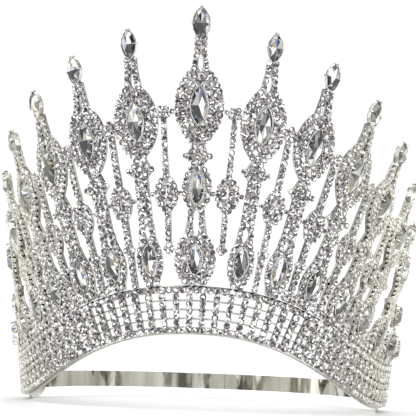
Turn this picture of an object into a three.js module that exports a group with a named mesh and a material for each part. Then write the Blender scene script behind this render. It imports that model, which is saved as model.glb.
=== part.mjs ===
// Bridal tiara: a studded band that arches over the forehead, a fan of pointed spires with
// navette stones, drop links between the spires, and a two-piece sprung strap at the back.
// Millimetres, +Z up. The origin is the centre of the head opening at the level of the
// lowest edge, and the front of the tiara faces -Y.
import * as THREE from 'three';
import { mergeVertices } from 'three/addons/utils/BufferGeometryUtils.js';

// ---------- driving dimensions ----------
const RING_RADIUS = 69; // middle of the metal at z = 0
const FLARE = THREE.MathUtils.degToRad(7); // the whole front leans outwards
const PLATE = 1.1; // thickness of the cast frames, across the surface
const GAP = 0.3; // clearance between neighbouring pieces
const CLOSEST_POINTS = 0.25; // points of an outline are no closer than this

const ARCH_RISE = 26; // front of the lower edge above its sides
const ARCH_END = THREE.MathUtils.degToRad(75); // where the lower edge has come down
const ARCH_POWER = 2.3; // how late the lower edge falls away
const BAND_END = THREE.MathUtils.degToRad(104); // half the angle that the band covers
const BAND_HEIGHT = 16.4;
const RIM_HEIGHT = 0.6; // plain wire under the studs
const BAND_CELLS = 63; // stud columns along the band
const BAND_ROWS = 5; // a stud row at each edge and wires between
const BAND_BAR = 1.4; // width of one stud column
const EDGE_BAR = 1.7; // width of the stud rows at the two edges
const WIRE_BAR = 0.6; // width of the wires between them

const SPIRE_STEP = THREE.MathUtils.degToRad(9.78); // between spire feet
const CENTRE_EXTRA = THREE.MathUtils.degToRad(1.45); // the wide centre spire needs more room
const LEAN_STEP = THREE.MathUtils.degToRad(6.6); // each spire leans this much more
const STRAIGHTEN = 0.14; // share of the lean that is lost towards the tip
const OVERHANG = 0.25; // the set stones stand out past the frames' edges
const FOOT_HALF = 2.3;
const FOOT_HEIGHT = 3;
const NECK_HALF = 2.2;
const STEM_HALF = 2.9; // between the foot loop and the crosspiece, lower part
const BAR_HALF = 2.5; // the same, upper part
const CROSS_HALF = 5.3;
const STRAND_HALF = 1.0;
const LOOP_MIDDLE = 9.4; // above the foot
const SIDE_LOOP = { halfWidth: 4.7, halfHeight: 11 }; // outline round the foot loop
const CENTRE_LOOP = { halfWidth: 7.2, halfHeight: 12 };
const LOOP_OPENING = { halfWidth: 2.6, halfHeight: 6.4 };
const CENTRE_OVAL = { halfWidth: 5.2, halfHeight: 10.5 }; // between foot loop and crosspiece
const CENTRE_OPENING = { halfWidth: 2.1, halfHeight: 5 };
const LARGE_OUTLINE = { halfWidth: 8.6, halfHeight: 15.5 }; // round the large stone
const LARGE_SHORTEN = 0.035; // share of its height lost on each next spire
const LARGE_SEAT_SHARE = 0.88; // of the large stone, open behind it
const CENTRE_SHARES = { slotTop: 0.285, large: 0.65, tip: 0.943 }; // of a spire's length
const SIDE_SHARES = { slotTop: 0.24, large: 0.645, tip: 0.947 };
const CENTRE_OVAL_SHARE = 0.352;
const CROSS_SHARE = 0.468;
const CROSS_DROP = 1.2; // the crosspiece sits this much lower on each next spire
const CROSS_TAPER = 1.2;
const NECK_SHARE = 0.895;
const SLOT_RISE = 7.2; // from the foot loop's middle to the bottom of the slot above it
const SLOT_HALF = 1.2;
const SHOULDER_SHARE = 0.8; // of the large outline's half height, where the neck begins
const SHOULDER_SPREAD = 0.9; // the neck is this much wider there
const SHOULDER_REACH = 7;
const NECK_SLIT = { rise: 2.4, halfWidth: 0.9, halfHeight: 3.2 };
const TIP_TUCK = 0.3; // the tip's plate hides behind its stone
const SPIRES_A_SIDE = 6;
const LINKS_A_SIDE = 5;
const LINK_RING = { middle: 13.2, halfWidth: 1.8, halfHeight: 3 };
const HANGING_START = 11.4; // the two middle links stop here, the others reach the band
const LEAF = { halfWidth: 4.1, halfHeight: 7.3 };
const LEAF_SHARE = 0.345; // height of the leaf, of the length of the spires beside it
const LEAF_SLIT = { halfWidth: 0.8, halfHeight: 3.2 };
const CLUSTER_HALF = 1.9;
const CLUSTER_TAPER = 0.4;
const END_TIP = { middle: 26, halfWidth: 2.6, halfHeight: 7 };
const END_STEM_HALF = 1.7;
const FOOT_GAP = 0.7; // above the band, which is made of short straight pieces
const FOOT_BLEND = 6; // the foot's slant dies out over this height
const CENTRE_LENGTH = 97.5;
const SIDE_LENGTH = 90.6; // first spire beside the centre one
const LENGTH_STEP = 5.0; // each next spire is this much shorter
const WIDTH_STEP = 0.045; // and narrower by this share

const LARGE_STONE = { halfWidth: 3.4, halfHeight: 7.1, crown: 2.0, pavilion: 1.5 };
const TIP_STONE = { halfWidth: 2.6, halfHeight: 5.1, crown: 1.8, pavilion: 0.5 };
const CENTRE_TIP_SCALE = 1.12;

const STRAP_HEIGHT = 6.4;
const STRAP_BOTTOM = 1.9;
const STRAP_THICKNESS = 1.0;
const STRAP_RADIUS = RING_RADIUS - 2.5;
const STRAP_ROOT = THREE.MathUtils.degToRad(99);
const STRAP_TUCK = 1.85; // how far the left half steps in to pass inside the right half
const TUCK_START = -16.5; // measured along the strap from the middle of the back
const TUCK_END = -9.5;
const LEFT_HALF_END = 5;
const RIGHT_HALF_END = -8.5;
const END_PLATE_ANGLE = THREE.MathUtils.degToRad(27);
const END_PLATE_THICKNESS = 0.8;
const END_PLATE_REACH = THREE.MathUtils.degToRad(2); // it shows past the end of the band
const END_PLATE_BOTTOM = -2.2;
const END_PLATE_TOP = 13.5;
const END_PLATE_SQUARENESS = 2.6; // 2 is an ellipse, more is squarer

// ---------- materials ----------
const silver = new THREE.MeshStandardMaterial({ color: 0xc9c8c4, roughness: 0.28, metalness: 1 });
const chrome = new THREE.MeshStandardMaterial({ color: 0xd6d5d1, roughness: 0.12, metalness: 1 });
const crystal = new THREE.MeshStandardMaterial({ color: 0xdfe3e8, roughness: 0.03, metalness: 0.1 });

// ---------- the flared surface that everything is laid on ----------
const radiusAt = (z) => RING_RADIUS + z * Math.tan(FLARE);

// angle 0 is the front, positive towards +X; lift is measured outwards from the middle
function onSurface(angle, z, lift) {
  const radius = radiusAt(z) + lift * Math.cos(FLARE);
  const height = z - lift * Math.sin(FLARE);
  return new THREE.Vector3(radius * Math.sin(angle), -radius * Math.cos(angle), height);
}

function lowerEdge(angle) {
  const share = Math.min(1, Math.abs(angle) / ARCH_END);
  return ARCH_RISE * (1 - Math.sin(share * Math.PI / 2) ** ARCH_POWER);
}

function edgeSlope(angle) {
  const step = 0.01;
  const rise = lowerEdge(angle + step) - lowerEdge(angle - step);
  return Math.atan2(-rise, 2 * step * RING_RADIUS);
}

// a point of the band, height measured square to its lower edge
function onBand(angle, height, lift) {
  const slope = edgeSlope(angle);
  const z = lowerEdge(angle) + height * Math.cos(slope);
  return onSurface(angle + height * Math.sin(slope) / radiusAt(z), z, lift);
}

// a leaning column that stands on the band's top edge; x runs across it, y along it
function makeColumn(place) {
  const foot = place * SPIRE_STEP + Math.sign(place) * CENTRE_EXTRA;
  const lean = place * LEAN_STEP;
  const footZ = lowerEdge(foot) + BAND_HEIGHT / Math.cos(edgeSlope(foot)) + FOOT_GAP;
  const tilt = Math.tan(lean) - Math.tan(edgeSlope(foot));
  return (x, straightY, lift) => {
    // the foot is cut level with the band, not square to the column
    const y = straightY + x * tilt * Math.max(0, 1 - straightY / FOOT_BLEND);
    const axisZ = footZ + y * Math.cos(lean) * Math.cos(FLARE);
    const climb = Math.log(radiusAt(axisZ) / radiusAt(footZ)) / Math.tan(FLARE);
    const swing = Math.tan(lean) * climb * (1 - STRAIGHTEN * (y / SIDE_LENGTH) ** 2);
    const angle = foot + swing + x * Math.cos(lean) / radiusAt(axisZ);
    return onSurface(angle, axisZ - x * Math.sin(lean), lift);
  };
}

// ---------- solids ----------
// six times the signed volume, positive when the faces point out
function signedVolume(geometry) {
  const points = geometry.attributes.position;
  const order = geometry.index.array;
  const corner = (i) => new THREE.Vector3().fromBufferAttribute(points, order[i]);
  let sum = 0;
  for (let i = 0; i < order.length; i += 3) {
    sum += corner(i).dot(corner(i + 1).cross(corner(i + 2)));
  }
  return sum;
}

// shared vertices merged, faces turned outwards
function closeUp(geometry) {
  geometry.deleteAttribute('normal');
  geometry.deleteAttribute('uv');
  const merged = mergeVertices(geometry, 1e-4);
  if (signedVolume(merged) < 0) {
    merged.index.array.reverse();
  }
  return merged;
}

// every vertex of a flat solid is moved by place(x, y, z)
function wrap(geometry, place) {
  const points = geometry.attributes.position;
  for (let i = 0; i < points.count; i += 1) {
    const moved = place(points.getX(i), points.getY(i), points.getZ(i));
    points.setXYZ(i, moved.x, moved.y, moved.z);
  }
  return closeUp(geometry);
}

// a flat plate from an outline and holes, PLATE thick about the middle of the surface
function plateFrom(outline, holes, place) {
  const shape = new THREE.Shape(outline);
  shape.holes = holes.map((hole) => new THREE.Path(hole));
  const flat = new THREE.ExtrudeGeometry(shape, { depth: PLATE, bevelEnabled: false });
  flat.translate(0, 0, -PLATE / 2);
  return wrap(flat, place);
}

// half the width of a pointed oval (two arcs) at a height y above its middle
function navetteWidth(y, halfWidth, halfHeight) {
  if (Math.abs(y) > halfHeight) {
    return 0;
  }
  const arc = (halfWidth ** 2 + halfHeight ** 2) / (2 * halfWidth);
  return Math.sqrt(arc ** 2 - y ** 2) - (arc - halfWidth);
}

// closed outline, mirrored about x = 0, from a width function and the heights to use
function mirrored(unsorted, widthAt) {
  const sorted = [...unsorted].sort((a, b) => a - b);
  const heights = sorted.filter((y, i) => i === 0 || y - sorted[i - 1] > CLOSEST_POINTS);
  const right = heights.map((y) => new THREE.Vector2(widthAt(y), y));
  const left = [...right].reverse().filter((p) => p.x > 0.01);
  return [...right, ...left.map((p) => new THREE.Vector2(-p.x, p.y))];
}

function steps(from, to, count) {
  return Array.from({ length: count + 1 }, (_, i) => from + (to - from) * i / count);
}

function navetteOutline(middle, halfWidth, halfHeight, count) {
  const heights = steps(-halfHeight, halfHeight, count);
  return mirrored(heights, (y) => navetteWidth(y, halfWidth, halfHeight)).map(
    (p) => new THREE.Vector2(p.x, p.y + middle),
  );
}

// a ring of sections, each a closed loop of points, capped at both ends
function loft(sections) {
  const count = sections[0].length;
  const positions = sections.flat().flatMap((p) => [p.x, p.y, p.z]);
  const index = [];
  for (let s = 0; s + 1 < sections.length; s += 1) {
    for (let i = 0; i < count; i += 1) {
      const a = s * count + i;
      const b = s * count + (i + 1) % count;
      index.push(a, b, b + count, a, b + count, a + count);
    }
  }
  const last = (sections.length - 1) * count;
  for (let i = 1; i + 1 < count; i += 1) {
    index.push(0, i + 1, i);
    index.push(last, last + i, last + i + 1);
  }
  const geometry = new THREE.BufferGeometry();
  geometry.setAttribute('position', new THREE.Float32BufferAttribute(positions, 3));
  geometry.setIndex(index);
  return closeUp(geometry);
}

// ---------- the band ----------
// a plate made of small blocks, some of them left out; place(column, row, side) gives points
function gridPlate(columns, rows, isSolid, place) {
  const positions = [];
  const index = [];
  const pointAt = new Map();
  const point = (c, r, side) => {
    const key = `${c},${r},${side}`;
    if (!pointAt.has(key)) {
      const p = place(c, r, side);
      pointAt.set(key, positions.length / 3);
      positions.push(p.x, p.y, p.z);
    }
    return pointAt.get(key);
  };
  const quad = (a, b, c, d) => index.push(a, b, c, a, c, d);
  const filled = (c, r) => c >= 0 && r >= 0 && c < columns && r < rows && isSolid(c, r);
  for (let c = 0; c < columns; c += 1) {
    for (let r = 0; r < rows; r += 1) {
      if (!filled(c, r)) {
        continue;
      }
      const low = [point(c, r, 0), point(c + 1, r, 0), point(c + 1, r + 1, 0), point(c, r + 1, 0)];
      const top = [point(c, r, 1), point(c + 1, r, 1), point(c + 1, r + 1, 1), point(c, r + 1, 1)];
      quad(low[3], low[2], low[1], low[0]);
      quad(top[0], top[1], top[2], top[3]);
      const beside = [filled(c, r - 1), filled(c + 1, r), filled(c, r + 1), filled(c - 1, r)];
      for (let e = 0; e < 4; e += 1) {
        const next = (e + 1) % 4;
        if (!beside[e]) {
          quad(low[e], low[next], top[next], top[e]);
        }
      }
    }
  }
  const geometry = new THREE.BufferGeometry();
  geometry.setAttribute('position', new THREE.Float32BufferAttribute(positions, 3));
  geometry.setIndex(index);
  return closeUp(geometry);
}

const STUD_BOTTOM = RIM_HEIGHT + GAP;

// stud columns with square windows between them, closed by the rows
function bandLattice() {
  const pitch = 2 * BAND_END / BAND_CELLS;
  const barAngle = BAND_BAR / RING_RADIUS;
  const studHeight = BAND_HEIGHT - STUD_BOTTOM;
  const wires = BAND_ROWS - 2;
  const window = (studHeight - 2 * EDGE_BAR - wires * WIRE_BAR) / (BAND_ROWS - 1);
  const angleAt = (c) => -BAND_END + Math.floor(c / 2) * pitch + (c % 2) * barAngle;
  const heightAt = (r) => {
    const row = Math.floor(r / 2);
    const start = row === 0 ? 0 : EDGE_BAR + window + (row - 1) * (window + WIRE_BAR);
    const isEdge = row === 0 || row === BAND_ROWS - 1;
    return STUD_BOTTOM + start + (r % 2) * (isEdge ? EDGE_BAR : WIRE_BAR);
  };
  const isSolid = (c, r) => c % 2 === 0 || r % 2 === 0;
  const place = (c, r, side) => onBand(angleAt(c), heightAt(r), (side - 0.5) * PLATE);
  return gridPlate(2 * BAND_CELLS - 1, 2 * BAND_ROWS - 1, isSolid, place);
}

function bottomRim() {
  const sections = steps(-BAND_END, BAND_END, 60).map((angle) => [
    onBand(angle, 0, -PLATE / 2),
    onBand(angle, 0, PLATE / 2),
    onBand(angle, RIM_HEIGHT, PLATE / 2),
    onBand(angle, RIM_HEIGHT, -PLATE / 2),
  ]);
  return loft(sections);
}

// plain rounded plate behind each end of the band, where the strap is fixed
function endPlate(side) {
  const halfAngle = END_PLATE_ANGLE / 2;
  const middle = BAND_END + END_PLATE_REACH - halfAngle;
  const outerLift = -PLATE / 2 - GAP;
  const innerLift = outerLift - END_PLATE_THICKNESS;
  const level = (END_PLATE_TOP + END_PLATE_BOTTOM) / 2;
  const sections = steps(-0.47, 0.47, 14).map((turn) => {
    const t = Math.sin(turn * Math.PI);
    const angle = side * (middle + t * halfAngle);
    const roundness = (1 - Math.abs(t) ** END_PLATE_SQUARENESS) ** (1 / END_PLATE_SQUARENESS);
    const halfHeight = (END_PLATE_TOP - level) * roundness;
    const bottom = level - halfHeight;
    const top = level + halfHeight;
    return [
      onSurface(angle, bottom, innerLift),
      onSurface(angle, bottom, outerLift),
      onSurface(angle, top, outerLift),
      onSurface(angle, top, innerLift),
    ];
  });
  return loft(sections);
}

// ---------- spires ----------
function spireSizes(place) {
  const away = Math.abs(place);
  const centre = away === 0;
  const length = centre ? CENTRE_LENGTH : SIDE_LENGTH - LENGTH_STEP * (away - 1);
  const width = 1 - WIDTH_STEP * away;
  const shares = centre ? CENTRE_SHARES : SIDE_SHARES;
  return {
    centre,
    length,
    width,
    loop: centre ? CENTRE_LOOP : SIDE_LOOP,
    slotTop: shares.slotTop * length,
    ovalMiddle: CENTRE_OVAL_SHARE * length,
    crossMiddle: CROSS_SHARE * length - CROSS_DROP * away,
    largeMiddle: shares.large * length,
    largeHalfWidth: LARGE_OUTLINE.halfWidth * width,
    largeHalfHeight: LARGE_OUTLINE.halfHeight * (1 - LARGE_SHORTEN * away),
    neckTop: NECK_SHARE * length,
    tipMiddle: shares.tip * length,
  };
}

function spireFrame(place) {
  const s = spireSizes(place);
  const shoulder = s.largeMiddle + SHOULDER_SHARE * s.largeHalfHeight;
  const tipHalf = TIP_STONE.halfHeight * (s.centre ? CENTRE_TIP_SCALE : 1);
  const stemAt = (y) => {
    if (y > s.neckTop) {
      return 0;
    }
    if (y < FOOT_HEIGHT) {
      return FOOT_HALF;
    }
    if (y > s.crossMiddle) {
      const spread = Math.max(0, 1 - Math.abs(y - shoulder) / SHOULDER_REACH);
      return NECK_HALF + SHOULDER_SPREAD * spread;
    }
    if (y < s.slotTop) {
      return STEM_HALF;
    }
    const oval = navetteWidth(y - s.ovalMiddle, CENTRE_OVAL.halfWidth, CENTRE_OVAL.halfHeight);
    return s.centre ? Math.max(NECK_HALF, oval) : BAR_HALF;
  };
  const widthAt = (y) => {
    const low = navetteWidth(y - LOOP_MIDDLE, s.loop.halfWidth, s.loop.halfHeight);
    const cross = CROSS_HALF - CROSS_TAPER * Math.abs(y - s.crossMiddle);
    const large = navetteWidth(y - s.largeMiddle, s.largeHalfWidth, s.largeHalfHeight);
    const tip = navetteWidth(y - s.tipMiddle, TIP_STONE.halfWidth - TIP_TUCK, tipHalf - TIP_TUCK);
    return Math.max(low, stemAt(y), cross, large, tip) - OVERHANG;
  };
  const heights = [
    ...steps(0, LOOP_MIDDLE + 8.4, 8),
    s.slotTop - 0.5,
    ...steps(s.slotTop + 0.5, s.crossMiddle - 3, s.centre ? 6 : 2),
    s.crossMiddle - 1.5,
    s.crossMiddle,
    s.crossMiddle + 1.5,
    ...steps(s.largeMiddle - 0.88 * s.largeHalfHeight, shoulder + 0.5, 12),
    shoulder + 2.5,
    shoulder + 6,
    s.neckTop - 0.2,
    ...steps(s.neckTop + 0.4, s.tipMiddle + tipHalf - 0.5, 6),
  ];
  const opening = (middle, size, share) => navetteOutline(
    middle,
    size.halfWidth * share,
    size.halfHeight * share,
    6,
  );
  const holes = [
    opening(s.largeMiddle, LARGE_STONE, LARGE_SEAT_SHARE),
    opening(LOOP_MIDDLE, LOOP_OPENING, 1),
    navetteOutline(shoulder + NECK_SLIT.rise, NECK_SLIT.halfWidth, NECK_SLIT.halfHeight, 4),
  ];
  const slotBottom = LOOP_MIDDLE + SLOT_RISE;
  const slotHalf = (s.slotTop - slotBottom) / 2;
  if (slotHalf > 1) {
    holes.push(navetteOutline(slotBottom + slotHalf, SLOT_HALF, slotHalf, 4));
  }
  if (s.centre) {
    holes.push(opening(s.ovalMiddle, CENTRE_OPENING, 1));
  }
  return plateFrom(mirrored(heights, widthAt), holes, makeColumn(place));
}

// a cut stone: pointed-oval girdle, flat table in front, keel behind
function navetteStone(place, middle, stone, scale, seatLift) {
  const column = makeColumn(place);
  const ring = (share, lift) => navetteOutline(
    0,
    stone.halfWidth * scale * share,
    stone.halfHeight * scale * share,
    4,
  ).map((p) => column(p.x, p.y + middle, seatLift + lift));
  return loft([
    ring(0.3, -stone.pavilion),
    ring(1, -0.2),
    ring(1, 0.2),
    ring(0.6, stone.crown),
  ]);
}

// ---------- links between spires ----------
function linkFrame(place) {
  const near = spireSizes(Math.floor(Math.abs(place)));
  const far = spireSizes(Math.ceil(Math.abs(place)));
  const clusterMiddle = (near.largeMiddle + far.largeMiddle) / 2;
  const leafMiddle = LEAF_SHARE * (near.length + far.length) / 2;
  const leafReach = LEAF.halfHeight - 1;
  const widthAt = (y) => {
    const ring = navetteWidth(y - LINK_RING.middle, LINK_RING.halfWidth, LINK_RING.halfHeight);
    const leaf = navetteWidth(y - leafMiddle, LEAF.halfWidth * near.width, LEAF.halfHeight);
    const cluster = CLUSTER_HALF - CLUSTER_TAPER * Math.abs(y - clusterMiddle);
    return Math.max(ring, leaf, STRAND_HALF, cluster) - OVERHANG;
  };
  const reachesBand = Math.abs(place) > 1;
  const heights = [
    ...(reachesBand ? [0, HANGING_START / 2] : []),
    HANGING_START,
    LINK_RING.middle,
    LINK_RING.middle + 2,
    ...steps(leafMiddle - leafReach, leafMiddle + leafReach, 8),
    (leafMiddle + clusterMiddle) / 2,
    clusterMiddle - 2.5,
    clusterMiddle,
    clusterMiddle + 2,
  ];
  const slit = navetteOutline(leafMiddle, LEAF_SLIT.halfWidth, LEAF_SLIT.halfHeight, 4);
  return plateFrom(mirrored(heights, widthAt), [slit], makeColumn(place));
}

// short motifs beyond the last spire, the first of them with a tip of its own
function endMotif(place, hasTip) {
  const widthAt = (y) => Math.max(
    navetteWidth(y - LOOP_MIDDLE, SIDE_LOOP.halfWidth, SIDE_LOOP.halfHeight),
    hasTip ? navetteWidth(y - END_TIP.middle, END_TIP.halfWidth, END_TIP.halfHeight) : 0,
    y < FOOT_HEIGHT ? FOOT_HALF : 0,
    hasTip || y < 16 ? END_STEM_HALF : 0.6,
  ) - OVERHANG;
  const heights = [...steps(0, 18, 8), ...(hasTip ? steps(20, 31.5, 6) : [19.5])];
  const seat = navetteOutline(LOOP_MIDDLE, LOOP_OPENING.halfWidth, LOOP_OPENING.halfHeight, 6);
  return plateFrom(mirrored(heights, widthAt), [seat], makeColumn(place));
}

// ---------- the back strap ----------
// along is measured on the strap from the middle of the back, positive towards +X
function strapPoint(along, inset, z) {
  const radius = STRAP_RADIUS - inset;
  const angle = along / STRAP_RADIUS;
  return new THREE.Vector3(radius * Math.sin(angle), radius * Math.cos(angle), z);
}

function strapHalf(from, to, insetAt, count) {
  const sections = steps(from, to, count).map((along) => {
    const inset = insetAt(along);
    return [
      strapPoint(along, inset, STRAP_BOTTOM),
      strapPoint(along, inset, STRAP_BOTTOM + STRAP_HEIGHT),
      strapPoint(along, inset + STRAP_THICKNESS, STRAP_BOTTOM + STRAP_HEIGHT),
      strapPoint(along, inset + STRAP_THICKNESS, STRAP_BOTTOM),
    ];
  });
  return loft(sections);
}

const strapLength = (Math.PI - STRAP_ROOT) * STRAP_RADIUS;

function leftStrap() {
  const tuck = (along) => STRAP_TUCK * THREE.MathUtils.smoothstep(along, TUCK_START, TUCK_END);
  return strapHalf(-strapLength, LEFT_HALF_END, tuck, 34);
}

function rightStrap() {
  return strapHalf(RIGHT_HALF_END, strapLength, () => 0, 28);
}

// ---------- assembly ----------
const tiara = new THREE.Group();

function add(name, geometry, material) {
  const mesh = new THREE.Mesh(geometry, material);
  mesh.name = name;
  tiara.add(mesh);
}

function label(place) {
  if (place === 0) {
    return 'center';
  }
  return `${place < 0 ? 'left' : 'right'}_${Math.ceil(Math.abs(place))}`;
}

add('front_band', bandLattice(), silver);
add('bottom_rim', bottomRim(), chrome);
add('end_plate_left', endPlate(-1), chrome);
add('end_plate_right', endPlate(1), chrome);
add('back_strap_left', leftStrap(), chrome);
add('back_strap_right', rightStrap(), chrome);

for (let place = -SPIRES_A_SIDE; place <= SPIRES_A_SIDE; place += 1) {
  const sizes = spireSizes(place);
  const tipScale = sizes.centre ? CENTRE_TIP_SCALE : 1;
  const seat = PLATE / 2 + GAP;
  add(`spire_${label(place)}`, spireFrame(place), silver);
  add(
    `large_stone_${label(place)}`,
    navetteStone(place, sizes.largeMiddle, LARGE_STONE, 1, seat + 0.4),
    crystal,
  );
  add(
    `tip_stone_${label(place)}`,
    navetteStone(place, sizes.tipMiddle, TIP_STONE, tipScale, seat + TIP_STONE.pavilion),
    crystal,
  );
}
for (let place = 0.5; place < LINKS_A_SIDE; place += 1) {
  add(`link_${label(-place)}`, linkFrame(-place), silver);
  add(`link_${label(place)}`, linkFrame(place), silver);
}
[-1, 1].forEach((side) => {
  const hand = side < 0 ? 'left' : 'right';
  add(`end_motif_${hand}_1`, endMotif(side * (SPIRES_A_SIDE + 1), true), silver);
  add(`end_motif_${hand}_2`, endMotif(side * (SPIRES_A_SIDE + 2), false), silver);
});

export default tiara;
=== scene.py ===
"""Bridal tiara: round crystals in claw cups, navette stones in bezels, plated metal."""

import math
import random

import bpy
import numpy as np
from mathutils import Matrix, Vector


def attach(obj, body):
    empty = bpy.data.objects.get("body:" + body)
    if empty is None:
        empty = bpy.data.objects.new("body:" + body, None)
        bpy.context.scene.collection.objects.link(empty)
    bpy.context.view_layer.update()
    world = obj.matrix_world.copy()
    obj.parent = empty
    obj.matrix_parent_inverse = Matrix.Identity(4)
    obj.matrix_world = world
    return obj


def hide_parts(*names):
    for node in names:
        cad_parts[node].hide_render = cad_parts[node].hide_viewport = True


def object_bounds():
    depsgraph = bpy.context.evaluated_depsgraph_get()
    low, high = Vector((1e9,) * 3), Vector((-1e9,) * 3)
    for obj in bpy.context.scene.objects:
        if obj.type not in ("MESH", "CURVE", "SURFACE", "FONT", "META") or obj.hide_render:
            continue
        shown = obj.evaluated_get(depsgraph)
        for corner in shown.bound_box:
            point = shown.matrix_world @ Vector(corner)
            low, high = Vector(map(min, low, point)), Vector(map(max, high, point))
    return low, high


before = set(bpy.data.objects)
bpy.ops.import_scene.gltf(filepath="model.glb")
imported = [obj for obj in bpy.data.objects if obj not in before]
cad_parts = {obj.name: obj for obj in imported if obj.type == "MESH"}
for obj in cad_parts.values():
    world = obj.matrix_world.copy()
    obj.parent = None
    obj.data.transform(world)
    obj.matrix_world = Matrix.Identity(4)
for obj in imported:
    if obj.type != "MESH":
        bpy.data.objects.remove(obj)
cad_box = [list(corner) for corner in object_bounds()]
random.seed(11)

# ---------- driving dimensions, in millimetres as in the CAD model ----------
RING_RADIUS = 69
FLARE = math.radians(7)
PLATE = 1.1
GAP = 0.3
ARCH_RISE = 26
ARCH_END = math.radians(75)
ARCH_POWER = 2.3
BAND_END = math.radians(104)
BAND_HEIGHT = 16.4
RIM_HEIGHT = 0.6
BAND_CELLS = 63
BAND_ROWS = 5
BAND_STUDS = 7  # stones up each column
OPEN_BAND = math.radians(29)  # past this angle there are stones on the wires too
BAND_BAR = 1.4
EDGE_BAR = 1.7
SPIRE_STEP = math.radians(9.78)
CENTRE_EXTRA = math.radians(1.45)
LEAN_STEP = math.radians(6.6)
STRAIGHTEN = 0.14
FOOT_GAP = 0.7
FOOT_BLEND = 6
CENTRE_LENGTH = 97.5
SIDE_LENGTH = 90.6
LENGTH_STEP = 5.0
WIDTH_STEP = 0.045
LOOP_MIDDLE = 9.4
FOOT_HALF = 2.3
FOOT_HEIGHT = 3
NECK_HALF = 2.2
STEM_HALF = 2.9
BAR_HALF = 2.5
CROSS_HALF = 5.3
CROSS_SHARE = 0.468  # of a spire's length
CROSS_DROP = 1.2  # the crosspiece sits this much lower on each next spire
CROSS_TAPER = 1.2
CENTRE_OVAL = (5.2, 10.5)  # an outline is half its width, then half its height
CENTRE_OVAL_SHARE = 0.352
SIDE_LOOP = (4.7, 11)
CENTRE_LOOP = (7.2, 12)
LARGE_OUTLINE = (8.6, 15.5)
LARGE_SHORTEN = 0.035  # share of its height lost on each next spire
CENTRE_SHARES = {"slot_top": 0.285, "large": 0.65, "tip": 0.943}
SIDE_SHARES = {"slot_top": 0.24, "large": 0.645, "tip": 0.947}
NECK_SHARE = 0.895
SLOT_RISE = 7.2  # from the foot loop's middle to the bottom of the slot above it
SHOULDER_SHARE = 0.8  # of the large outline's half height, where the neck begins
SHOULDER_SPREAD = 0.9  # the neck is this much wider there
SHOULDER_REACH = 7
NECK_SLIT_RISE = 2.4
NECK_SLIT_HALF_HEIGHT = 3.2
RING_HEIGHT = 13.2  # of a link's small ring
LEAF = (4.1, 7.3)
LEAF_SHARE = 0.345  # height of the leaf, of the length of the spires beside it
END_TIP_HEIGHT = 26

# ---------- navette stones: half the width, half the height ----------
LARGE_HALF = (2.95, 6.9)
TIP_HALF = (2.6, 5.1)
LOOP_HALF = (2.45, 5.5)
CENTRE_OVAL_HALF = (2.4, 5.6)
END_TIP_HALF = (2.3, 4.6)
CENTRE_TIP_SCALE = 1.12
NAVETTE_SIDES = 16
LARGE_CROWN = 1.9
TIP_CROWN = 1.6
LOOP_CROWN = 1.5
OVAL_CROWN = 1.4  # of the small stones in the centre oval and the end tips
END_LOOP_CROWN = 2.2
END_LOOP_LIFT = 0.4
# painted glints: how often a navette crown facet gets a coloured glint instead of its tone
GLINT_CHANCE = 0.12
GLINTS = (0.94, 0.965, 0.985)  # the coloured steps of NAVETTE_STOPS, painted coloured glints

# ---------- round stones ----------
PITCH = 2.1  # between neighbouring round stones
ROUND = 1.12  # radius of a round stone
SMALL_ROUND = 0.82
COLUMN_STONE = 1.24  # radii on the band
EDGE_STONE = 1.16
WIRE_STONE = 1.0
BAND_CLOSEST = 1.0
CLOSEST = 1.6  # stones nearer than this to one already set are left out
ROW_CLOSEST = 1.86  # the same along an outline
CURVED_SHARE = 0.93  # least distance in space, as a share of the one laid out flat
OUTLINE_INSET = 1.0
INNER_INSETS = (2.95, 4.9)
HALO_GAP = 1.25  # from a navette's edge to the middle of its halo
HALO_REACH = 1.5
EDGE_MARGIN = 0.7  # the least from a stone's middle to the outline
ON_AXIS = 0.9  # stones nearer than this to the middle line are set on it
SWEEPS = ((1.72, ROUND), (1.4, SMALL_ROUND))  # closest distance and radius
SWEEP_STEP = 0.45
SWEEP_WIDTH = 7.2
SWEEP_COLUMNS = 18
SMALLEST_STONE = 2  # half the width of a navette that gets a halo of round stones
CUP_HEIGHT = 0.9  # from the frame to the girdle of a stone of unit radius
CUP_LEAN = 0.07  # spread of the random lean, in radians
CELL = 2.5  # of the grid that finds crowded places

STRAP_TWIST = 0.35  # slope of the strap's face, either way
FRONT = PLATE / 2  # lift of the frames' front faces
MM = 0.001


# ---------- the flared surface, as in the CAD model ----------
def radius_at(z):
    return RING_RADIUS + z * math.tan(FLARE)


def on_surface(angle, z, lift):
    radius = radius_at(z) + lift * math.cos(FLARE)
    height = z - lift * math.sin(FLARE)
    return np.array([radius * math.sin(angle), -radius * math.cos(angle), height])


def lower_edge(angle):
    share = min(1, abs(angle) / ARCH_END)
    return ARCH_RISE * (1 - math.sin(share * math.pi / 2) ** ARCH_POWER)


def edge_slope(angle):
    step = 0.01
    rise = lower_edge(angle + step) - lower_edge(angle - step)
    return math.atan2(-rise, 2 * step * RING_RADIUS)


def on_band(angle, height, lift):
    slope = edge_slope(angle)
    z = lower_edge(angle) + height * math.cos(slope)
    return on_surface(angle + height * math.sin(slope) / radius_at(z), z, lift)


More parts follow.
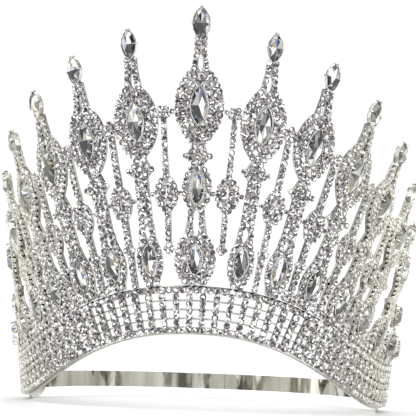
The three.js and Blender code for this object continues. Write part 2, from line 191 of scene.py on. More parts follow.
def make_column(place):
    foot = place * SPIRE_STEP + (0 if place == 0 else math.copysign(CENTRE_EXTRA, place))
    lean = place * LEAN_STEP
    foot_z = lower_edge(foot) + BAND_HEIGHT / math.cos(edge_slope(foot)) + FOOT_GAP
    tilt = math.tan(lean) - math.tan(edge_slope(foot))

    def column(x, straight_y, lift):
        y = straight_y + x * tilt * max(0, 1 - straight_y / FOOT_BLEND)
        axis_z = foot_z + y * math.cos(lean) * math.cos(FLARE)
        climb = math.log(radius_at(axis_z) / radius_at(foot_z)) / math.tan(FLARE)
        swing = math.tan(lean) * climb * (1 - STRAIGHTEN * (y / SIDE_LENGTH) ** 2)
        angle = foot + swing + x * math.cos(lean) / radius_at(axis_z)
        return on_surface(angle, axis_z - x * math.sin(lean), lift)

    return column


def navette_width(y, half_width, half_height):
    if abs(y) > half_height:
        return 0
    arc = (half_width ** 2 + half_height ** 2) / (2 * half_width)
    return math.sqrt(arc ** 2 - y ** 2) - (arc - half_width)


def spire_sizes(place):
    away = abs(place)
    centre = away == 0
    length = CENTRE_LENGTH if centre else SIDE_LENGTH - LENGTH_STEP * (away - 1)
    width = 1 - WIDTH_STEP * away
    shares = CENTRE_SHARES if centre else SIDE_SHARES
    large_half = (LARGE_OUTLINE[0] * width, LARGE_OUTLINE[1] * (1 - LARGE_SHORTEN * away))
    return {
        "centre": centre,
        "length": length,
        "width": width,
        "slot_top": shares["slot_top"] * length,
        "mid": CENTRE_OVAL_SHARE * length,
        "cross": CROSS_SHARE * length - CROSS_DROP * away,
        "large": shares["large"] * length,
        "large_half": large_half,
        "low_half": CENTRE_LOOP if centre else SIDE_LOOP,
        "shoulder": shares["large"] * length + SHOULDER_SHARE * large_half[1],
        "neck_top": NECK_SHARE * length,
        "tip": shares["tip"] * length,
    }


def local_axes(place, x, y, lift):
    """A point of the surface, and its unit vectors across, along and outwards, as rows."""
    step = 0.05
    across = place(x + step, y, lift) - place(x - step, y, lift)
    along = place(x, y + step, lift) - place(x, y - step, lift)
    out = np.cross(across, along)
    out /= np.linalg.norm(out)
    across /= np.linalg.norm(across)
    return place(x, y, lift), np.array([across, np.cross(out, across), out])


# ---------- collecting geometry into a few named pieces ----------
class Heap:
    """Many small solids gathered into one mesh, with a stored shade on every facet: on the
    crystals it picks each facet's painted tone, from painted shade to painted highlight.
    """

    def __init__(self):
        self.points = []
        self.faces = []
        self.shades = []
        self.count = 0

    def add(self, points, faces, shades):
        self.points.append(points)
        self.faces += [[i + self.count for i in face] for face in faces]
        self.shades += shades
        self.count += len(points)

    def finish(self, name, body, slot, material, hidden=()):
        mesh = bpy.data.meshes.new(name)
        points = np.concatenate(self.points) * MM
        mesh.from_pydata(points.tolist(), [], self.faces)
        shade = mesh.attributes.new("facet", "FLOAT", "FACE")
        shade.data.foreach_set("value", self.shades)
        mesh.materials.append(material)
        piece = bpy.data.objects.new(name, mesh)
        bpy.context.scene.collection.objects.link(piece)
        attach(piece, body)
        if hidden:
            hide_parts(*hidden)
        return piece


def facet_shades(faces):
    return [random.random() for _ in faces]


def ring(sides, radius, height, turn=0.0):
    angles = [turn + 2 * math.pi * i / sides for i in range(sides)]
    return [(radius * math.cos(a), radius * math.sin(a), height) for a in angles]


def bridge(first, second, sides):
    """Quads between two rings of points, given where each ring starts."""
    return [
        [first + i, first + (i + 1) % sides, second + (i + 1) % sides, second + i]
        for i in range(sides)
    ]


def round_stone():
    """A brilliant of unit radius: girdle, crown of triangles, table, and a point behind."""
    points = ring(8, 1.0, 0.0) + ring(8, 0.98, 0.1) + ring(8, 0.6, 0.46, math.pi / 8)
    faces = bridge(0, 8, 8)
    # patches: facets that share one painted tone, the girdle with the point behind, the crown
    # facets in pairs, the table in three
    patches = [0] * 8
    for i in range(8):
        after = (i + 1) % 8
        faces.append([8 + i, 8 + after, 16 + i])
        faces.append([8 + after, 16 + after, 16 + i])
        patches += [1 + i, 1 + i]
    points.append((0, 0, 0.48))
    faces += [[16 + i, 16 + (i + 1) % 8, 24] for i in range(8)]
    patches += [9, 9, 10, 10, 10, 11, 11, 11]
    points.append((0, 0, -0.6))
    faces += [[(i + 1) % 8, i, 25] for i in range(8)]
    patches += [0] * 8
    return np.array(points), faces, patches


def cup():
    """An open cup for a stone of unit radius, standing on the frame, and its claws."""
    points = ring(8, 0.78, -0.9) + ring(8, 1.04, -0.25) + ring(8, 1.08, 0.1)
    points += ring(8, 0.97, 0.1) + ring(8, 0.8, -0.35)
    faces = [list(range(7, -1, -1))]
    for level in range(4):
        faces += bridge(8 * level, 8 * level + 8, 8)
    faces.append(list(range(32, 40)))
    for i in range(4):
        turn = math.pi / 4 + i * math.pi / 2
        start = len(points)
        for reach, side, height in (
            (1.22, 0.0, -0.3), (0.98, -0.17, 0.0), (0.98, 0.17, 0.0),
            (1.12, 0.0, 0.3), (0.8, 0.0, 0.37),
        ):
            x = reach * math.cos(turn) - side * math.sin(turn)
            y = reach * math.sin(turn) + side * math.cos(turn)
            points.append((x, y, height))
        faces += [
            [start, start + 2, start + 3], [start, start + 3, start + 1],
            [start + 3, start + 2, start + 4], [start + 3, start + 4, start + 1],
            [start + 4, start + 2, start + 1], [start, start + 1, start + 2],
        ]
    return np.array(points), faces


def rivet():
    """The low dome on the back of the frame, where a cup of unit radius is pinned through."""
    points = ring(6, 0.62, 0.05) + ring(6, 0.56, -0.12) + ring(6, 0.3, -0.22)
    faces = [list(range(5, -1, -1))] + bridge(6, 0, 6) + bridge(12, 6, 6)
    faces.append(list(range(12, 18)))
    return np.array(points), [face[::-1] for face in faces]


ROUND_STONE = round_stone()
CUP = cup()
RIVET = rivet()


class Setter:
    """Sets round stones in cups on one group of frames, and refuses crowded places."""

    taken = {}

    def __init__(self):
        self.stones = Heap()
        self.cups = Heap()

    def crowded(self, point, closest):
        cell = tuple(int(math.floor(v / CELL)) for v in point)
        for dx in (-1, 0, 1):
            for dy in (-1, 0, 1):
                for dz in (-1, 0, 1):
                    key = (cell[0] + dx, cell[1] + dy, cell[2] + dz)
                    for other in Setter.taken.get(key, ()):
                        if np.linalg.norm(point - other) < closest:
                            return True
        Setter.taken.setdefault(cell, []).append(point)
        return False

    def put(self, place, x, y, radius=ROUND, closest=CLOSEST):
        lift = FRONT + CUP_HEIGHT * radius
        point, axes = local_axes(place, x, y, lift)
        if self.crowded(point, closest):
            return
        turn = Matrix.Rotation(random.uniform(0, math.tau), 3, "Z")
        lean = Matrix.Rotation(random.gauss(0, CUP_LEAN), 3, "X")
        lean = lean @ Matrix.Rotation(random.gauss(0, CUP_LEAN), 3, "Y")
        local = np.array(lean @ turn)
        points, faces, patches = ROUND_STONE
        # painted reflections, highlights and shade: one random tone for each patch of facets,
        # made a dark, grey or white facet by the crystal ramp
        tones = [random.random() for _ in range(12)]
        shades = [tones[patch] for patch in patches]
        self.stones.add(points @ local.T * radius @ axes + point, faces, shades)
        points, faces = CUP
        turned = np.array(Matrix.Rotation(random.uniform(-0.2, 0.2), 3, "Z"))
        self.cups.add(points @ turned.T * radius @ axes + point, faces, facet_shades(faces))
        points, faces = RIVET
        back = place(x, y, -FRONT)
        self.cups.add(points * radius @ axes + back, faces, facet_shades(faces))


def steps(start, stop, count):
    return [start + (stop - start) * i / count for i in range(count + 1)]


# ---------- navette stones ----------
def navette_points(half_width, half_height, height):
    points = []
    for i in range(NAVETTE_SIDES):
        angle = 2 * math.pi * i / NAVETTE_SIDES
        y = half_height * math.sin(angle)
        width = navette_width(y, half_width, half_height)
        points.append((math.copysign(width, math.cos(angle)) if width > 1e-6 else 0, y, height))
    return points


def set_navette(stones, mounts, place, middle, half, seat, crown, claws):
    """A faceted pointed stone with a bezel and claws over its girdle."""
    count = NAVETTE_SIDES
    half_width, half_height = half
    rows = [
        navette_points(half_width * 0.5, half_height * 0.6, -0.35 * crown - 0.5),
        navette_points(half_width, half_height, 0.0),
        navette_points(half_width * 0.99, half_height * 0.99, 0.25),
        navette_points(half_width * 0.64, half_height * 0.66, 0.25 + 0.9 * crown),
    ]
    flat = [p for row in rows for p in row] + [(0, 0, 0.25 + crown)]
    faces = [list(range(count - 1, -1, -1))]
    faces += bridge(0, count, count) + bridge(count, 2 * count, count)
    # painted reflections and shade: a random tone on each facet of the point behind and the
    # girdle
    shades = facet_shades(faces)
    centre = len(flat) - 1
    # painted shade: the crown and table of each navette are darker towards one side, near the
    # lower left, and lighter on the other, as if lit from the upper right
    darkest = random.gauss(1.3, 0.4) * math.pi
    middle_tone = random.uniform(0.36, 0.54)

    def tone(i, spread):
        away = math.cos(2 * math.pi * (i + 1) / count - darkest)
        return min(0.999, max(0, middle_tone - 0.3 * away + random.uniform(-spread, spread)))

    for i in range(0, count, 2):
        a = 2 * count + i
        b = 2 * count + (i + 1) % count
        c = 2 * count + (i + 2) % count
        faces += [[a, b, c], [a, c, b + count], [a, b + count, a + count]]
        faces += [[c, c + count, b + count], [a + count, b + count, c + count, centre]]
        # painted glint: now and then a crown facet gets a coloured step of the ramp instead of
        # its tone
        glint = random.choice(GLINTS) if random.random() < GLINT_CHANCE else tone(i, 0.36)
        shades += [tone(i, 0.45), tone(i, 0.4), glint, tone(i, 0.4), tone(i, 0.36)]
    points = np.array([place(x, middle + y, seat + z) for x, y, z in flat])
    stones.add(points, faces, shades)

    rows = [
        navette_points(half_width * 0.86, half_height * 0.86, FRONT - seat),
        navette_points(half_width + 0.3, half_height + 0.35, FRONT - seat + 0.15),
        navette_points(half_width + 0.42, half_height + 0.5, 0.3),
        navette_points(half_width + 0.12, half_height + 0.15, 0.38),
        navette_points(half_width + 0.05, half_height + 0.05, -0.2),
    ]
    flat = [p for row in rows for p in row]
    faces = []
    for level in range(4):
        faces += bridge(level * count, (level + 1) * count, count)
    faces += bridge(4 * count, 0, count)
    points = np.array([place(x, middle + y, seat + z) for x, y, z in flat])
    mounts.add(points, faces, facet_shades(faces))
    for share in claws:
        add_claw(mounts, place, middle, half, seat, crown, share)


def add_claw(mounts, place, middle, half, seat, crown, share):
    """A bent prong over the girdle, at an angle given as a share of a turn."""
    angle = share * math.tau
    half_width, half_height = half
    y = half_height * math.sin(angle)
    x = math.copysign(navette_width(y, half_width, half_height), math.cos(angle))
    if abs(math.cos(angle)) < 1e-6:
        x = 0
    norm = math.hypot(x / half_width ** 2, y / half_height ** 2)
    away = np.array([x / half_width ** 2, y / half_height ** 2]) / norm
    beside = np.array([-away[1], away[0]])
    base = np.array([x, y])
    # each step: how far outside the girdle, its height over the seat, half its width
    profile = [
        (0.3, FRONT - seat, 0.34), (0.36, 0.3, 0.34), (0.05, 0.35 + 0.4 * crown, 0.28),
        (-0.6, 0.4 + 0.7 * crown, 0.18),
    ]
    flat = []
    for reach, height, wide in profile:
        for side, thick in ((-1, 0.0), (-0.6, 0.34), (0.6, 0.34), (1, 0.0)):
            spot = base + away * (reach + thick) + beside * side * wide
            flat.append((spot[0], spot[1], height + thick * 0.5))
    faces = [[3, 2, 1, 0], [12, 13, 14, 15]]
    for level in range(3):
        faces += bridge(4 * level, 4 * level + 4, 4)
    points = np.array([place(px, middle + py, seat + pz) for px, py, pz in flat])
    mounts.add(points, faces, facet_shades(faces))


# ---------- laying out the stones ----------
def stud_band(setter):
    pitch = 2 * BAND_END / BAND_CELLS
    low = RIM_HEIGHT + GAP + EDGE_BAR / 2
    high = BAND_HEIGHT - EDGE_BAR / 2
    bar = BAND_BAR / RING_RADIUS

    def place(x, y, lift):
        return on_band(x / RING_RADIUS, y, lift)

    for column in range(BAND_CELLS):
        angle = -BAND_END + column * pitch + bar / 2
        for row in range(BAND_STUDS):
            height = low + (high - low) * row / (BAND_STUDS - 1)
            setter.put(place, angle * RING_RADIUS, height, COLUMN_STONE, BAND_CLOSEST)
            if row in (0, BAND_STUDS - 1) and column + 1 < BAND_CELLS:
                x = (angle + pitch / 2) * RING_RADIUS
                setter.put(place, x, height, EDGE_STONE, BAND_CLOSEST)
        between = angle + pitch / 2
        if OPEN_BAND < abs(between) < BAND_END - pitch:
            for wire in range(1, BAND_ROWS - 1):
                height = low + (high - low) * wire / (BAND_ROWS - 1)
                setter.put(place, between * RING_RADIUS, height, WIRE_STONE, BAND_CLOSEST)


def top_wire():
    """The wire that the spires are soldered to, along the band's top edge."""
    wire = Heap()
    angles = steps(-BAND_END, BAND_END, 3 * BAND_CELLS)
    low, middle, high = 0.02, 0.34, 0.66  # over the band's top edge
    section = (
        (low, -0.3), (low, 0.3), (middle, 0.5), (high, 0.3), (high, -0.3), (middle, -0.5),
    )
    points = [on_band(a, BAND_HEIGHT + rise, lift) for a in angles for rise, lift in section]
    faces = [list(range(6)), [len(points) - 1 - i for i in range(6)]]
    for step in range(len(angles) - 1):
        faces += [face[::-1] for face in bridge(6 * step, 6 * step + 6, 6)]
    wire.add(np.array(points), faces, facet_shades(faces))
    return wire


def spire_width(s, y):
    """Half the width of a spire's frame at a height y, as in the CAD model."""
    low = navette_width(y - LOOP_MIDDLE, *s["low_half"])
    cross = CROSS_HALF - CROSS_TAPER * abs(y - s["cross"])
    large = navette_width(y - s["large"], *s["large_half"])
    stem = 0
    if y < FOOT_HEIGHT:
        stem = FOOT_HALF
    elif y < s["neck_top"]:
        if y > s["cross"]:
            reach = abs(y - s["shoulder"]) / SHOULDER_REACH
            stem = NECK_HALF + SHOULDER_SPREAD * max(0, 1 - reach)
        elif y < s["slot_top"]:
            stem = STEM_HALF
        elif s["centre"]:
            stem = max(NECK_HALF, navette_width(y - s["mid"], *CENTRE_OVAL))
        else:
            stem = BAR_HALF
    return max(low, stem, cross, large)


def edge_rows(width_at, low, high, inset):
    """Points a set distance inside the outline, on the +X side, at close spacing."""
    route = []
    for y in steps(low, high, int((high - low) / 0.2)):
        slope = (width_at(y + 0.15) - width_at(y - 0.15)) / 0.3
        slope = max(-1.6, min(1.6, slope))
        run = math.hypot(1, slope)
        x = width_at(y) - inset / run
        route.append((x, y + inset * slope / run))
    return route


def fill(setter, place, width_at, low, high, holes, first=(), clear=1.1):
    """A row along the outline, a halo round each navette, then whatever fits between."""
    placed = list(first)
    for x, y in first:
        setter.put(place, x, y)

    def room(x, y, closest):
        for other_x, other_y in placed:
            if (other_x - x) ** 2 + (other_y - y) ** 2 < closest ** 2:
                return False
        for middle, half_width, half_height in holes:
            if abs(x) < navette_width(y - middle, half_width + clear, half_height + clear * 1.2):
                return False
        return abs(x) < width_at(y) - EDGE_MARGIN

    def take(x, y, closest, radius=ROUND):
        if room(x, y, closest):
            placed.append((x, y))
            setter.put(place, x, y, radius, closest * CURVED_SHARE)

    def walk(route):
        last = None
        for x, y in route:
            x = 0 if x < ON_AXIS else x
            if last and math.hypot(x - last[0], y - last[1]) < PITCH * 0.98:
                continue
            last = (x, y)
            take(x, y, ROW_CLOSEST)
            if x:
                take(-x, y, ROW_CLOSEST)

    walk(edge_rows(width_at, low, high, OUTLINE_INSET))
    for middle, half_width, half_height in holes:
        if half_width > SMALLEST_STONE:
            reach = half_height + HALO_REACH
            halo = half_width + HALO_GAP
            heights = steps(-reach, reach, 80)
            walk([(navette_width(y, halo, reach), middle + y) for y in heights])
    for inset in INNER_INSETS:
        walk(edge_rows(width_at, low, high, inset))
    for closest, radius in SWEEPS:
        for y in steps(low, high, int((high - low) / SWEEP_STEP)):
            for x in steps(0, SWEEP_WIDTH, SWEEP_COLUMNS):
                take(x, y, closest, radius)
                take(-x, y, closest, radius)


def dress_spire(setter, place_number):
    s = spire_sizes(place_number)
    holes = [
        (s["large"], LARGE_HALF[0] + 0.1, LARGE_HALF[1] + 0.2),
        (LOOP_MIDDLE, LOOP_HALF[0] + 0.05, LOOP_HALF[1] + 0.1),
        (s["shoulder"] + NECK_SLIT_RISE, 0.35, NECK_SLIT_HALF_HEIGHT),
    ]
    if s["centre"]:
        holes.append((s["mid"], CENTRE_OVAL_HALF[0] + 0.1, CENTRE_OVAL_HALF[1] + 0.1))
    slot_bottom = LOOP_MIDDLE + SLOT_RISE
    slot_half = (s["slot_top"] - slot_bottom) / 2
    if slot_half > 1:
        holes.append((slot_bottom + slot_half, 0.7, slot_half - 0.6))
    fill(
        setter, make_column(place_number), lambda y: spire_width(s, y),
        0.9, s["neck_top"] + 0.5, holes,
        [(-4.1, s["cross"]), (4.1, s["cross"]), (0, s["cross"])],
    )


def dress_link(setter, place_number):
    near = spire_sizes(math.floor(abs(place_number)))
    far = spire_sizes(math.ceil(abs(place_number)))
    place = make_column(place_number)
    cluster = (near["large"] + far["large"]) / 2
    leaf = LEAF_SHARE * (near["length"] + far["length"]) / 2
    leaf_half = LEAF[0] * near["width"]

    def width_at(y):
        return max(
            navette_width(y - leaf, leaf_half + 0.15, LEAF[1]), 1.08,
            2.8 - 0.5 * abs(y - cluster), navette_width(y - RING_HEIGHT, 2.1, 3),
        )

    low = 0.9 if abs(place_number) > 1 else 11.8
    fill(setter, place, width_at, low, cluster + 2.2, [(leaf, 0.1, 2.6)])
    rings = RING_HEIGHT if abs(place_number) < 1 else leaf
    # rows of small stones that reach towards the spires beside the link, with no plate behind
    for side in (-1, 1):
        for reach in (3.0, 4.5, 6.0):
            setter.put(place, side * reach, cluster + 0.3, 0.95, 1.3)
        for reach in (0.8, 2.2, 3.6):
            setter.put(place, side * (leaf_half + reach), leaf, 0.9, 1.25)
        for reach in (2.0, 3.4, 4.8):
            setter.put(place, side * reach, rings, 0.9, 1.25)


def dress_root(setter, place_number):
    """A small peak of stones above the band, between two spires, with no plate behind it."""
    place = make_column(place_number)
    for half, y in ((2.1, 0.9), (1.9, 3.0), (1.2, 5.0)):
        for x in (0, -half, half):
            setter.put(place, x, y, 1.0, 1.55)
    setter.put(place, 0, 7.1, 1.0, 1.55)


def dress_end(setter, place_number, has_tip):
    def width_at(y):
        foot = FOOT_HALF if y < FOOT_HEIGHT else 0
        return max(navette_width(y - LOOP_MIDDLE, *SIDE_LOOP), foot, 1.5)

    fill(
        setter, make_column(place_number), width_at, 0.9, 20 if has_tip else 18.6,
        [(LOOP_MIDDLE, LOOP_HALF[0] + 0.05, LOOP_HALF[1] + 0.1)],
    )


band_setter = Setter()
spire_setters = {"left": Setter(), "center": Setter(), "right": Setter()}
link_setter = Setter()
large_stones = Heap()
tip_stones = Heap()
loop_stones = Heap()
bezels = Heap()

# places of the claws round a stone, as shares of a turn
SIDE_CLAWS = (0.25, 0.75, 0.04, 0.46, 0.54, 0.96)
TIP_CLAWS = (0.2, 0.3, 0.75, 0.0, 0.5)

stud_band(band_setter)
for number in range(-6, 7):
    group = "left" if number < -1 else "right" if number > 1 else "center"
    dress_spire(spire_setters[group], number)
for index in range(5):
    for sign in (-1, 1):
        dress_link(link_setter, sign * (index + 0.5))
for sign in (-1, 1):
    dress_end(link_setter, sign * 7, True)
    dress_end(link_setter, sign * 8, False)
    for index in range(2, 8):
        dress_root(link_setter, sign * (index + 0.5))

SEAT = FRONT + GAP + 0.7  # lift of the navettes' girdles


def place_navette(stones, number, middle, half, crown, claws, seat=SEAT):
    set_navette(stones, bezels, make_column(number), middle, half, seat, crown, claws)


for number in range(-6, 7):
    sizes = spire_sizes(number)
    place_navette(large_stones, number, sizes["large"], LARGE_HALF, LARGE_CROWN, SIDE_CLAWS)
    scale = CENTRE_TIP_SCALE if sizes["centre"] else 1
    tip_half = (TIP_HALF[0] * scale, TIP_HALF[1] * scale)
    place_navette(tip_stones, number, sizes["tip"], tip_half, TIP_CROWN, TIP_CLAWS)
    place_navette(loop_stones, number, LOOP_MIDDLE, LOOP_HALF, LOOP_CROWN, SIDE_CLAWS)
    if sizes["centre"]:
        place_navette(loop_stones, number, sizes["mid"], CENTRE_OVAL_HALF, OVAL_CROWN, SIDE_CLAWS)
for number in (-8, -7, 7, 8):
    place_navette(
        loop_stones, number, LOOP_MIDDLE, LOOP_HALF, END_LOOP_CROWN, SIDE_CLAWS,
        SEAT + END_LOOP_LIFT,
    )
for number in (-7, 7):
    place_navette(tip_stones, number, END_TIP_HEIGHT, END_TIP_HALF, OVAL_CROWN, TIP_CLAWS)


# ---------- materials ----------
TINT_START = 0.045  # metres from the middle, where the painted warm side reflection begins
TINT_FULL = 0.072


def new_material(name):
    material = bpy.data.materials.new(name)
    material.use_nodes = True
    nodes = material.node_tree.nodes
    return material, nodes, material.node_tree.links, nodes["Principled BSDF"]


def ramp(nodes, stops, hard=False):
    node = nodes.new("ShaderNodeValToRGB")
    if hard:
        node.color_ramp.interpolation = "CONSTANT"
    elements = node.color_ramp.elements
    elements[0].position, elements[0].color = stops[0][0], (*stops[0][1], 1)
    elements[1].position, elements[1].color = stops[1][0], (*stops[1][1], 1)
    for position, colour in stops[2:]:
        element = elements.new(position)
        element.color = (*colour, 1)
    return node


def painted_side_reflection(nodes, links, colour_out, tint, amount):
    """Warms a colour towards the two sides, by place: a painted reflection, standing in for the
    warm reflections there.
    """
    where = nodes.new("ShaderNodeTexCoord")
    split = nodes.new("ShaderNodeSeparateXYZ")
    links.new(where.outputs["Object"], split.inputs[0])
    size = nodes.new("ShaderNodeMath")
    size.operation = "ABSOLUTE"
    links.new(split.outputs["X"], size.inputs[0])
    share = nodes.new("ShaderNodeMapRange")
    share.inputs["From Min"].default_value = TINT_START
    share.inputs["From Max"].default_value = TINT_FULL
    share.inputs["To Min"].default_value = 0
    share.inputs["To Max"].default_value = amount
    links.new(size.outputs[0], share.inputs["Value"])
    mix = nodes.new("ShaderNodeMix")
    mix.data_type = "RGBA"
    links.new(share.outputs["Result"], mix.inputs["Factor"])
    links.new(colour_out, mix.inputs[6])
    mix.inputs[7].default_value = (*tint, 1)
    return mix.outputs[2]


def noise(nodes, links, scale, detail=3.0, stretch=(1, 1, 1)):
    where = nodes.new("ShaderNodeTexCoord")
    mapping = nodes.new("ShaderNodeMapping")
    mapping.inputs["Scale"].default_value = stretch
    texture = nodes.new("ShaderNodeTexNoise")
    texture.inputs["Scale"].default_value = scale
    texture.inputs["Detail"].default_value = detail
    links.new(where.outputs["Object"], mapping.inputs["Vector"])
    links.new(mapping.outputs["Vector"], texture.inputs["Vector"])
    return texture.outputs["Fac"]


def crystal_material(name, stops, metallic, side_reflection_amount):
    material, nodes, links, shader = new_material(name)
    # painted reflections, highlights and shade: each facet's stored value picks a fixed tone from
    # the ramp as the base colour
    facet = nodes.new("ShaderNodeAttribute")
    facet.attribute_name = "facet"
    painted_facet_light = ramp(nodes, stops, hard=True)
    links.new(facet.outputs["Fac"], painted_facet_light.inputs["Fac"])
    # painted reflection: the facet colours are warmed towards the sides by place
    tinted = painted_side_reflection(nodes, links, painted_facet_light.outputs["Color"], (0.66, 0.65, 0.52), side_reflection_amount)
    links.new(tinted, shader.inputs["Base Color"])
    rough = nodes.new("ShaderNodeMapRange")
    rough.inputs["To Min"].default_value = 0.02
    rough.inputs["To Max"].default_value = 0.16
    links.new(noise(nodes, links, 900), rough.inputs["Value"])
    links.new(rough.outputs["Result"], shader.inputs["Roughness"])
    shader.inputs["Metallic"].default_value = metallic
    shader.inputs["IOR"].default_value = 1.7
    shader.inputs["Coat Weight"].default_value = 0.6
    shader.inputs["Coat Roughness"].default_value = 0.02
    return material


def metal_material(name, colour, low, high, rough, bump_scale, bump, stretch=(1, 1, 1)):
    """Plated metal whose tone, polish and surface waver a little."""
    material, nodes, links, shader = new_material(name)
    darker = tuple(c * low for c in colour)
    lighter = tuple(c * high for c in colour)
    tone = ramp(nodes, [(0.25, darker), (0.75, lighter)])
    links.new(noise(nodes, links, bump_scale, 4, stretch), tone.inputs["Fac"])
    # painted reflection: the metal colour is warmed towards the sides by place
    tinted = painted_side_reflection(nodes, links, tone.outputs["Color"], (0.66, 0.64, 0.52), 0.4)
    links.new(tinted, shader.inputs["Base Color"])
    polish = nodes.new("ShaderNodeMapRange")
    polish.inputs["To Min"].default_value = rough[0]
    polish.inputs["To Max"].default_value = rough[1]
    links.new(noise(nodes, links, bump_scale * 0.6, 2, stretch), polish.inputs["Value"])
    links.new(polish.outputs["Result"], shader.inputs["Roughness"])
    dent = nodes.new("ShaderNodeBump")
    dent.inputs["Strength"].default_value = bump
    dent.inputs["Distance"].default_value = 0.0003
    links.new(noise(nodes, links, bump_scale, 3, stretch), dent.inputs["Height"])
    links.new(dent.outputs["Normal"], shader.inputs["Normal"])
    shader.inputs["Metallic"].default_value = 1
    return material


def strap_material():
    """Sprung strip with upright streaks in its colour, partly polishing marks and partly painted
    reflection bands, and a slight twist given by bump.
    """
    material, nodes, links, shader = new_material("strap_metal")
    # painted reflection: the strong dark and light upright streaks of base colour stand partly
    # for polishing marks and partly for the reflection bands on the polished strip
    streaks = ramp(nodes, [
        (0.34, (0.2, 0.19, 0.16)), (0.44, (0.37, 0.36, 0.31)), (0.55, (0.5, 0.49, 0.43)),
        (0.68, (0.7, 0.69, 0.63)),
    ])
    links.new(noise(nodes, links, 110, 5, (1, 1, 0.02)), streaks.inputs["Fac"])
    links.new(streaks.outputs["Color"], shader.inputs["Base Color"])
    polish = nodes.new("ShaderNodeMapRange")
    polish.inputs["To Min"].default_value = 0.06
    polish.inputs["To Max"].default_value = 0.2
    links.new(noise(nodes, links, 200, 2, (1, 1, 0.05)), polish.inputs["Value"])
    links.new(polish.outputs["Result"], shader.inputs["Roughness"])
    where = nodes.new("ShaderNodeTexCoord")
    split = nodes.new("ShaderNodeSeparateXYZ")
    links.new(where.outputs["Object"], split.inputs[0])
    lean = nodes.new("ShaderNodeMapRange")
    lean.inputs["From Min"].default_value = 0.3
    lean.inputs["From Max"].default_value = 0.7
    lean.inputs["To Min"].default_value = -STRAP_TWIST
    lean.inputs["To Max"].default_value = STRAP_TWIST
    links.new(noise(nodes, links, 48, 2.5, (1, 1, 0.0)), lean.inputs["Value"])
    twist = nodes.new("ShaderNodeMath")
    twist.operation = "MULTIPLY"
    links.new(lean.outputs["Result"], twist.inputs[0])
    links.new(split.outputs["Z"], twist.inputs[1])
    dent = nodes.new("ShaderNodeBump")
    dent.inputs["Strength"].default_value = 1
    dent.inputs["Distance"].default_value = 1
    links.new(twist.outputs[0], dent.inputs["Height"])
    links.new(dent.outputs["Normal"], shader.inputs["Normal"])
    shader.inputs["Metallic"].default_value = 1
    return material


# painted light on the round stones: facet tones from black through grey to white, with purple and
# amber steps, are painted shade, painted reflections and painted highlights
ROUND_STOPS = [
    (0.0, (0.02, 0.018, 0.02)), (0.2, (0.07, 0.062, 0.07)), (0.37, (0.2, 0.18, 0.2)),
    (0.53, (0.42, 0.4, 0.4)), (0.66, (0.92, 0.92, 0.91)), (0.86, (1, 1, 0.99)),
    (0.93, (0.3, 0.25, 0.33)), (0.97, (0.4, 0.34, 0.25)),
]
# painted light on the navettes: facet tones from black through grey to white, with blue, pale
# blue and amber steps, are painted shade, painted reflections and painted glints
NAVETTE_STOPS = [
    (0.0, (0.012, 0.012, 0.014)), (0.2, (0.05, 0.048, 0.05)), (0.34, (0.2, 0.2, 0.2)),
    (0.48, (0.45, 0.45, 0.44)), (0.64, (0.82, 0.82, 0.8)), (0.8, (1.0, 1.0, 0.98)),
    (0.925, (0.08, 0.15, 0.42)), (0.95, (0.55, 0.6, 0.74)), (0.975, (0.36, 0.31, 0.18)),
]
round_crystal = crystal_material("round_crystal", ROUND_STOPS, 0.45, 0.62)
navette_crystal = crystal_material("navette_crystal", NAVETTE_STOPS, 0.35, 0.25)
claw_metal = metal_material("claw_metal", (0.72, 0.71, 0.69), 0.45, 1.25, (0.1, 0.28), 900, 0.5)
# painted shade: the cast frames are a darker copy of the claws' plating, standing in for the
# shade seen between the stones
cast_metal = metal_material("cast_metal", (0.5, 0.49, 0.46), 0.55, 1.2, (0.16, 0.36), 500, 0.35)
plate_metal = metal_material("plate_metal", (0.6, 0.59, 0.56), 0.85, 1.1, (0.22, 0.34), 120, 0.15)
# painted shade: the top wire is much darker than the rest of the plating, standing in for the
# shade along the band's top edge
wire_metal = metal_material("wire_metal", (0.26, 0.25, 0.23), 0.7, 1.3, (0.2, 0.36), 300, 0.3)
rim_metal = metal_material("rim_metal", (0.42, 0.41, 0.37), 0.7, 1.3, (0.14, 0.3), 300, 0.3)
strap_metal = strap_material()

band_setter.stones.finish("round_stones_band", "front", "crystal", round_crystal)
band_setter.cups.finish("cups_band", "front", "cast_frame", claw_metal)
for group, setter in spire_setters.items():
    setter.stones.finish(f"round_stones_spires_{group}", "front", "crystal", round_crystal)
    setter.cups.finish(f"cups_spires_{group}", "front", "cast_frame", claw_metal)
link_setter.stones.finish("round_stones_links", "front", "crystal", round_crystal)
link_setter.cups.finish("cups_links", "front", "cast_frame", claw_metal)
labels = ["center"] + [f"{hand}_{i}" for hand in ("left", "right") for i in range(1, 7)]
large_stones.finish(
    "navettes_large", "front", "crystal", navette_crystal,
    [f"large_stone_{label}" for label in labels],
)
tip_stones.finish(
    "navettes_tip", "front", "crystal", navette_crystal,
    [f"tip_stone_{label}" for label in labels],
)
loop_stones.finish("navettes_low", "front", "crystal", navette_crystal)
bezels.finish("navette_bezels", "front", "cast_frame", claw_metal)
top_wire().finish("top_wire", "front", "cast_frame", wire_metal)

finishes = {
    "back_strap_left": strap_metal, "back_strap_right": strap_metal,
    "end_plate_left": plate_metal, "end_plate_right": plate_metal, "bottom_rim": rim_metal,
}
for name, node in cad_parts.items():
    node.data.materials.clear()
    node.data.materials.append(finishes.get(name, cast_metal))

# ---------- floor, light and camera ----------
floor_z = cad_box[0][2]
floor_mesh = bpy.data.meshes.new("floor")
floor_mesh.from_pydata(
    [(-6, -6, floor_z), (6, -6, floor_z), (6, 6, floor_z), (-6, 6, floor_z)], [], [[0, 1, 2, 3]],
)
floor = bpy.data.objects.new("floor", floor_mesh)
bpy.context.scene.collection.objects.link(floor)
floor_material, _, _, floor_shader = new_material("floor")
floor_shader.inputs["Base Color"].default_value = (0.93, 0.93, 0.93, 1)
floor_shader.inputs["Roughness"].default_value = 0.9
floor_shader.inputs["Specular IOR Level"].default_value = 0.1
floor_mesh.materials.append(floor_material)

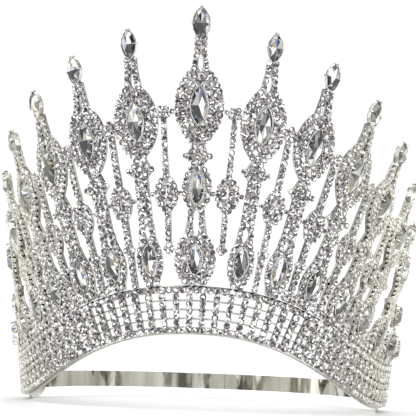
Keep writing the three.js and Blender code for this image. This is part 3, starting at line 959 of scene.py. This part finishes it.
world = bpy.data.worlds.new("studio")
bpy.context.scene.world = world
world.use_nodes = True
nodes = world.node_tree.nodes
links = world.node_tree.links
background = nodes["Background"]
where = nodes.new("ShaderNodeTexCoord")
patches = nodes.new("ShaderNodeTexNoise")
patches.inputs["Scale"].default_value = 2.6
patches.inputs["Detail"].default_value = 1.0
links.new(where.outputs["Generated"], patches.inputs["Vector"])
tones = ramp(nodes, [
    (0.36, (0.08, 0.08, 0.085)), (0.46, (0.7, 0.7, 0.7)), (0.54, (1.5, 1.5, 1.5)),
])
links.new(patches.outputs["Fac"], tones.inputs["Fac"])
rays = nodes.new("ShaderNodeLightPath")
choose = nodes.new("ShaderNodeMix")
choose.data_type = "RGBA"
links.new(rays.outputs["Is Glossy Ray"], choose.inputs["Factor"])
links.new(tones.outputs["Color"], choose.inputs[7])
choose.inputs[6].default_value = (1.04, 1.04, 1.04, 1)
links.new(choose.outputs[2], background.inputs["Color"])
background.inputs["Strength"].default_value = 1.05


def area_light(name, spot, aim, size, power):
    lamp = bpy.data.lights.new(name, "AREA")
    lamp.size = size
    lamp.energy = power
    holder = bpy.data.objects.new(name, lamp)
    holder.location = spot
    holder.rotation_euler = (Vector(aim) - Vector(spot)).to_track_quat("-Z", "Y").to_euler()
    bpy.context.scene.collection.objects.link(holder)


area_light("key", (-0.7, -1.0, 1.2), (0, 0, 0.06), 0.5, 5)
area_light("fill", (1.0, -0.8, 0.7), (0, 0, 0.06), 0.4, 2.5)
area_light("back", (0.1, 1.1, 1.0), (0, 0, 0.06), 0.5, 3)

TARGET = Vector((0, 0, 0.064))
DISTANCE = 0.7
AZIMUTH = 0.0623
ELEVATION = -0.0467
ROLL = 0.0363
SENSOR = 36
LENS = 153.58
TARGET_OFFSET = (0.1272, 2.4767)  # on the sensor, right of and below the middle
camera_data = bpy.data.cameras.new("camera")
camera_data.sensor_width = SENSOR
camera_data.lens = LENS
camera_data.clip_start = 0.01
camera_data.clip_end = 50
camera = bpy.data.objects.new("camera", camera_data)
bpy.context.scene.collection.objects.link(camera)
sight = Vector((
    math.sin(AZIMUTH) * math.cos(ELEVATION),
    -math.cos(AZIMUTH) * math.cos(ELEVATION),
    math.sin(ELEVATION),
))
camera.location = TARGET + sight * DISTANCE
straight = (-sight).to_track_quat("-Z", "Y").to_matrix() @ Matrix.Rotation(ROLL, 3, "Z")
middle_ray = Vector((-TARGET_OFFSET[0], TARGET_OFFSET[1], -LENS)).normalized()
turn = Vector((0, 0, -1)).rotation_difference(middle_ray).to_matrix()
camera.rotation_euler = (straight @ turn).to_euler()
bpy.context.scene.camera = camera
bpy.context.scene.view_settings.view_transform = "Standard"
